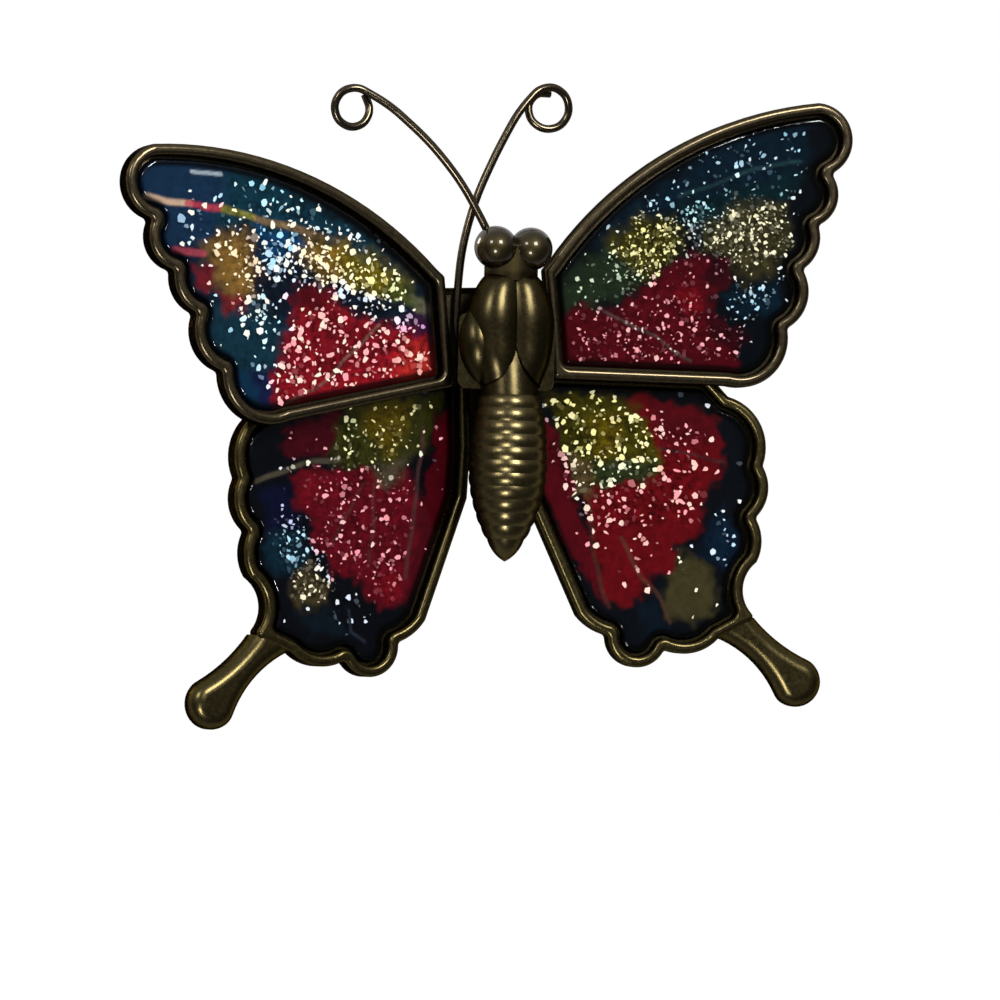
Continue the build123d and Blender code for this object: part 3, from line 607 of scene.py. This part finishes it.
def glitter_tree():
    """Flakes of foil scattered over a print, dense where it says so: small ragged chips of three shapes, few
    of them large, each turned and tilted its own way, and some of them marked with a painted glint that
    makes them bright."""
    tree = bpy.data.node_groups.new("glitter", "GeometryNodeTree")
    for name, kind, way in (
        ("Print", "NodeSocketGeometry", "INPUT"),
        ("Flakes per Square Metre", "NodeSocketFloat", "INPUT"),
        ("Least Spacing", "NodeSocketFloat", "INPUT"),
        ("Flake Radius", "NodeSocketFloat", "INPUT"),
        ("Raggedness", "NodeSocketFloat", "INPUT"),
        ("Depth of Resin", "NodeSocketFloat", "INPUT"),
        ("Dull Share", "NodeSocketFloat", "INPUT"),
        ("Brightest", "NodeSocketFloat", "INPUT"),
        ("Palest", "NodeSocketFloat", "INPUT"),
        ("Seed", "NodeSocketInt", "INPUT"),
        ("Foil", "NodeSocketMaterial", "INPUT"),
        ("Flakes", "NodeSocketGeometry", "OUTPUT"),
    ):
        tree.interface.new_socket(name, in_out=way, socket_type=kind)
    given = add(tree, "NodeGroupInput").outputs

    def chance(number, low, high):
        """A random number for each flake, of its own for each use."""
        seed = add(
            tree, "FunctionNodeIntegerMath", {"operation": "ADD"}, i0=given["Seed"], i1=100 * number
        ).outputs[0]
        settings = {"data_type": "FLOAT"}
        return add(tree, "FunctionNodeRandomValue", settings, i2=low, i3=high, Seed=seed).outputs[1]

    sparkle = add(
        tree, "GeometryNodeInputNamedAttribute", {"data_type": "FLOAT"}, Name="sparkle"
    ).outputs["Attribute"]
    spread = add(
        tree,
        "GeometryNodeDistributePointsOnFaces",
        {"distribute_method": "POISSON"},
        Mesh=given["Print"],
        Distance_Min=given["Least Spacing"],
        Density_Max=given["Flakes per Square Metre"],
        Density_Factor=sparkle,
        Seed=given["Seed"],
    )
    # Painted highlight: each flake is marked at random as dull or bright, and its colour shows that in place
    # of the light it catches
    shown = add(
        tree, "ShaderNodeMath", {"operation": "SUBTRACT"}, i0=chance(1, 0.0, 1.0), i1=given["Dull Share"]
    ).outputs[0]
    glint = add(
        tree,
        "ShaderNodeMapRange",
        Value=shown,
        From_Min=0.0,
        From_Max=GLINT_SPAN,
        To_Min=DULL_GLINT,
        To_Max=given["Brightest"],
    ).outputs["Result"]
    marked = spread.outputs["Points"]
    for name, value in (("glint", glint), ("pale", chance(13, 0.0, given["Palest"]))):
        marked = add(
            tree,
            "GeometryNodeStoreNamedAttribute",
            {"data_type": "FLOAT", "domain": "POINT"},
            Geometry=marked,
            Name=name,
            Value=value,
        ).outputs[0]
    depth = given["Depth of Resin"]
    rise = add(
        tree, "ShaderNodeMath", {"operation": "MULTIPLY"}, i0=chance(2, *FLAKE_RISE), i1=depth
    ).outputs[0]
    offset = add(
        tree, "ShaderNodeVectorMath", {"operation": "SCALE"}, i0=spread.outputs["Normal"], Scale=rise
    ).outputs[0]
    lifted = add(tree, "GeometryNodeSetPosition", Geometry=marked, Offset=offset).outputs[0]
    radius = given["Flake Radius"]
    chips = [
        add(
            tree, "GeometryNodeMeshCircle", {"fill_type": "NGON"}, Vertices=corners, Radius=radius
        ).outputs["Mesh"]
        for corners in FLAKE_CORNERS
    ]
    shapes = add(tree, "GeometryNodeGeometryToInstance", Geometry=chips).outputs[0]
    turn = add(
        tree,
        "ShaderNodeCombineXYZ",
        X=chance(3, -FLAKE_TILT, FLAKE_TILT),
        Y=chance(4, -FLAKE_TILT, FLAKE_TILT),
        Z=chance(5, 0.0, FLAKE_SPIN),
    ).outputs[0]
    large = add(tree, "ShaderNodeMath", {"operation": "POWER"}, i0=chance(6, 0.0, 1.0), i1=2.0).outputs[0]
    size = add(
        tree,
        "ShaderNodeMapRange",
        Value=large,
        From_Min=0.0,
        From_Max=1.0,
        To_Min=FLAKE_SIZES[0],
        To_Max=FLAKE_SIZES[1],
    ).outputs["Result"]
    form = add(
        tree, "ShaderNodeCombineXYZ", X=chance(7, *FLAKE_LENGTH), Y=chance(8, *FLAKE_WIDTH), Z=1.0
    ).outputs[0]
    scale = add(tree, "ShaderNodeVectorMath", {"operation": "SCALE"}, i0=form, Scale=size).outputs[0]
    lying = spread.outputs["Rotation"]
    facing = add(
        tree, "FunctionNodeRotateRotation", {"rotation_space": "LOCAL"}, i0=lying, i1=turn
    ).outputs[0]
    laid = add(
        tree,
        "GeometryNodeInstanceOnPoints",
        Points=lifted,
        Instance=shapes,
        Pick_Instance=True,
        Instance_Index=chance(9, 0.0, float(len(chips))),
        Rotation=facing,
        Scale=scale,
    ).outputs[0]
    real = add(tree, "GeometryNodeRealizeInstances", Geometry=laid).outputs[0]
    ragged = add(
        tree,
        "ShaderNodeCombineXYZ",
        X=chance(10, -1.0, 1.0),
        Y=chance(11, -RAGGED_DEPTH, RAGGED_DEPTH),
        Z=chance(12, -1.0, 1.0),
    ).outputs[0]
    notch = add(
        tree, "ShaderNodeVectorMath", {"operation": "SCALE"}, i0=ragged, Scale=given["Raggedness"]
    ).outputs[0]
    torn = add(tree, "GeometryNodeSetPosition", Geometry=real, Offset=notch).outputs[0]
    foil = add(tree, "GeometryNodeSetMaterial", Geometry=torn, Material=given["Foil"]).outputs[0]
    add(tree, "NodeGroupOutput", i0=foil)
    return tree


def show(name, mesh, body, material=None):
    """A finished piece that rides a body, with the finish given to it, if any."""
    piece = bpy.data.objects.new(name, mesh)
    bpy.context.scene.collection.objects.link(piece)
    if material:
        mesh.materials.clear()
        mesh.materials.append(material)
    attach(piece, body)
    return piece


def flakes_on(sheet, tree, name, seed, foil, density, radius, dull, brightest, palest):
    """The flakes of one print as a mesh of their own."""
    scatter = sheet.modifiers.new("glitter", "NODES")
    scatter.node_group = tree
    values = {
        "Flakes per Square Metre": density,
        "Least Spacing": FLAKE_SPACING * radius * MM,
        "Flake Radius": radius * MM,
        "Raggedness": RAGGEDNESS,
        "Depth of Resin": RESIN_DEPTH,
        "Dull Share": dull,
        "Brightest": brightest,
        "Palest": palest,
        "Seed": seed,
        "Foil": foil,
    }
    for item in tree.interface.items_tree:
        if item.name in values:
            scatter[item.identifier] = values[item.name]
    sheet.update_tag()
    evaluated = sheet.evaluated_get(bpy.context.evaluated_depsgraph_get())
    mesh = bpy.data.meshes.new_from_object(evaluated)
    mesh.name = name
    sheet.modifiers.remove(scatter)
    return mesh


def dome_mesh(node, matrix):
    """A dome without its underside, which lies on the print."""
    mesh = node.data.copy()
    behind = matrix.to_3x3() @ Vector((0, 1, 0))
    work = bmesh.new()
    work.from_mesh(mesh)
    under = [f for f in work.faces if f.normal.dot(behind) > UNDERSIDE]
    bmesh.ops.delete(work, geom=under, context="FACES")
    work.to_mesh(mesh)
    work.free()
    return mesh


def dress(node, material):
    """Gives a CAD piece its finish."""
    mesh = NODES[node].data
    mesh.materials.clear()
    mesh.materials.append(material)


def background_rays(tree):
    """1 for the rays that show the background: straight to the camera, in a gloss, or through something
    clear."""
    rays = add(tree, "ShaderNodeLightPath").outputs
    settings = {"operation": "MAXIMUM"}
    gloss = add(
        tree, "ShaderNodeMath", settings, i0=rays["Is Glossy Ray"], i1=rays["Is Transmission Ray"]
    ).outputs[0]
    return add(tree, "ShaderNodeMath", settings, i0=rays["Is Camera Ray"], i1=gloss).outputs[0]


def white_paper():
    """White paper: white in the picture but for the ornament's soft shadow, and in the gloss of the metal it
    is white where it lies behind the ornament."""
    made, tree = new_material("white paper")
    paper = add(tree, "ShaderNodeBsdfDiffuse", Color=colour("#f4f4f2")).outputs[0]
    place = add(tree, "ShaderNodeTexCoord").outputs["Object"]
    depth = add(tree, "ShaderNodeSeparateXYZ", Vector=place).outputs["Y"]
    behind = add(
        tree, "ShaderNodeMapRange", Value=depth, From_Min=-0.15, From_Max=0.25, To_Min=0.06, To_Max=1.0
    ).outputs["Result"]
    shine = add(tree, "ShaderNodeEmission", Color=colour("#ffffff"), Strength=behind).outputs[0]
    mixed = add(tree, "ShaderNodeMixShader", i0=background_rays(tree), i1=paper, i2=shine).outputs[0]
    away = add(tree, "ShaderNodeVectorMath", {"operation": "LENGTH"}, i0=place).outputs["Value"]
    level = add(
        tree, "ShaderNodeMapRange", Value=away, From_Min=0.3, From_Max=0.8, To_Min=0.4, To_Max=1.0
    ).outputs["Result"]
    glow = add(tree, "ShaderNodeEmission", Color=colour("#ffffff"), Strength=level).outputs[0]
    lit = add(tree, "ShaderNodeAddShader", i0=paper, i1=glow).outputs[0]
    camera_ray = add(tree, "ShaderNodeLightPath").outputs["Is Camera Ray"]
    seen = add(tree, "ShaderNodeMixShader", i0=camera_ray, i1=mixed, i2=lit).outputs[0]
    finish_material(tree, seen)
    return made


def lay_floor():
    """A wide sheet of white paper under the ornament."""
    bpy.ops.mesh.primitive_plane_add(size=FLOOR_SIZE, location=(0, 0, -FLOOR_DROP))
    plane = bpy.context.object
    plane.name = "floor"
    plane.data.materials.append(white_paper())


def studio_world():
    """A white backdrop behind the ornament, and a dim room in front of it that is lighter above than
    below."""
    world = bpy.data.worlds.new("studio")
    bpy.context.scene.world = world
    world.use_nodes = True
    tree = world.node_tree
    tree.nodes.clear()
    direction = add(tree, "ShaderNodeTexCoord").outputs["Generated"]
    way = add(tree, "ShaderNodeSeparateXYZ", Vector=direction).outputs
    level = add(
        tree, "ShaderNodeMapRange", Value=way["Z"], From_Min=-0.5, From_Max=0.9, To_Min=0.2, To_Max=0.6
    ).outputs["Result"]
    front = add(
        tree, "ShaderNodeMapRange", Value=way["Z"], From_Min=0.0, From_Max=0.9, To_Min=0.04, To_Max=0.4
    ).outputs["Result"]
    behind = add(
        tree, "ShaderNodeMapRange", Value=way["Y"], From_Min=-0.1, From_Max=0.4, To_Min=0.0, To_Max=1.0
    ).outputs["Result"]
    camera_ray = add(tree, "ShaderNodeLightPath").outputs["Is Camera Ray"]
    white = add(tree, "ShaderNodeMath", {"operation": "MAXIMUM"}, i0=behind, i1=camera_ray).outputs[0]
    seen = add(tree, "ShaderNodeMix", {"data_type": "FLOAT"}, Factor=white, i2=front, i3=1.0).outputs[0]
    room = add(tree, "ShaderNodeBackground", Color=colour("#ffffff"), Strength=level).outputs[0]
    backdrop = add(tree, "ShaderNodeBackground", Color=colour("#ffffff"), Strength=seen).outputs[0]
    mixed = add(tree, "ShaderNodeMixShader", i0=background_rays(tree), i1=room, i2=backdrop).outputs[0]
    add(tree, "ShaderNodeOutputWorld", Surface=mixed)


def softbox(name, place, size, power):
    """A square lamp that faces the ornament."""
    lamp = bpy.data.lights.new(name, "AREA")
    lamp.shape = "SQUARE"
    lamp.size = size
    lamp.energy = power
    box = bpy.data.objects.new(name, lamp)
    bpy.context.scene.collection.objects.link(box)
    box.location = place
    box.rotation_mode = "QUATERNION"
    box.rotation_quaternion = (-Vector(place)).to_track_quat("-Z", "Y")


def photo_camera():
    """A long lens from the left and a little below, aimed so that the ornament sits high in the picture."""
    roll = Matrix.Rotation(CAMERA_ROLL, 3, "Y")
    axes = roll @ Matrix.Rotation(CAMERA_PITCH, 3, "X") @ Matrix.Rotation(CAMERA_YAW, 3, "Z")
    to_world = axes.transposed()
    middle = PICTURE_SIZE / 2
    aside, below = (middle - AIM_COLUMN) / FOCAL_PIXELS, -(middle - AIM_ROW) / FOCAL_PIXELS
    forward = (to_world @ Vector((aside, 1, below))).normalized()
    right = forward.cross(to_world @ Vector((0, 0, 1))).normalized()
    up = right.cross(forward)
    camera = bpy.data.cameras.new("camera")
    camera.sensor_width = SENSOR
    camera.lens = SENSOR * FOCAL_PIXELS / PICTURE_SIZE
    camera.clip_start = CAMERA_NEAR
    holder = bpy.data.objects.new("camera", camera)
    bpy.context.scene.collection.objects.link(holder)
    turn = Matrix((right, up, -forward)).transposed()
    place = AIM - to_world @ Vector((0, CAMERA_DISTANCE, 0))
    holder.matrix_world = Matrix.Translation(place) @ turn.to_4x4()
    bpy.context.scene.camera = holder


# The castings, the wire and the magnet
for node, material in (
    ("forewing_frame", antique_metal("antique brass, forewings", "#1b1711", "#6d614a", 0.22)),
    ("hindwing_frame", antique_metal("antique brass, hindwings", "#1c180f", "#665b3a", 0.24)),
    ("body", antique_metal("antique brass, body", "#1d190d", "#776a48", 0.24, THORAX_FOOT, EYE_FOOT)),
    ("antenna_wire", antique_metal("antique brass wire", "#1c1812", "#6e6452", 0.16)),
    ("magnet", plain("black ferrite", "#2a2a2c", 0.7)),
    ("magnet_glue", plain("clear glue", "#c9c2ae", 0.35)),
):
    dress(node, material)

# The inserts. For each: its flakes on a square metre, the middle radius of a flake in millimetres, the share
# of the flakes painted dull to the light, and how bright and how pale the painted glints of the others get.
# These painted glints are set per wing as painted light and shade: dullest on the right forewing and the
# left hindwing, brightest on the left forewing.
PAPER = glittered_paper()
FOIL = glitter_foil()
EPOXY = clear_epoxy()
GLITTER = glitter_tree()
INSERTS = {
    ("left", "forewing"): {"density": 8e6, "radius": 0.38, "dull": 0.05, "brightest": 1.0, "palest": 0.9},
    ("right", "forewing"): {"density": 1.2e7, "radius": 0.27, "dull": 0.4, "brightest": 0.85, "palest": 0.5},
    ("left", "hindwing"): {"density": 9e6, "radius": 0.31, "dull": 0.4, "brightest": 0.85, "palest": 0.45},
    ("right", "hindwing"): {"density": 7e6, "radius": 0.37, "dull": 0.2, "brightest": 0.95, "palest": 0.7},
}
for seed, ((side, wing), glitter) in enumerate(INSERTS.items()):
    sheet = show(f"{side}_{wing}_print_sheet", print_sheet(side, wing), "ornament", PAPER)
    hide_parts(f"{side}_{wing}_print")
    flakes = flakes_on(sheet, GLITTER, f"{side}_{wing}_glitter", seed, FOIL, **glitter)
    show(f"{side}_{wing}_glitter", flakes, "ornament")
    dome = dome_mesh(NODES[f"{side}_{wing}_dome"], wing_matrix(side, wing))
    cover = show(f"{side}_{wing}_dome_shell", dome, "ornament", EPOXY)
    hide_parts(f"{side}_{wing}_dome")

# The studio
lay_floor()
studio_world()
softbox("key softbox", place=(0.12, -0.62, 0.3), size=0.2, power=2.4)
softbox("left softbox", place=(-0.45, -0.5, 0.35), size=0.15, power=1.0)
softbox("low softbox", place=(-0.16, -0.42, -0.18), size=0.1, power=0.6)
softbox("window behind on the left", place=(-0.35, 0.3, 0.2), size=0.15, power=0.8)
photo_camera()
bpy.context.scene.view_settings.view_transform = "Standard"
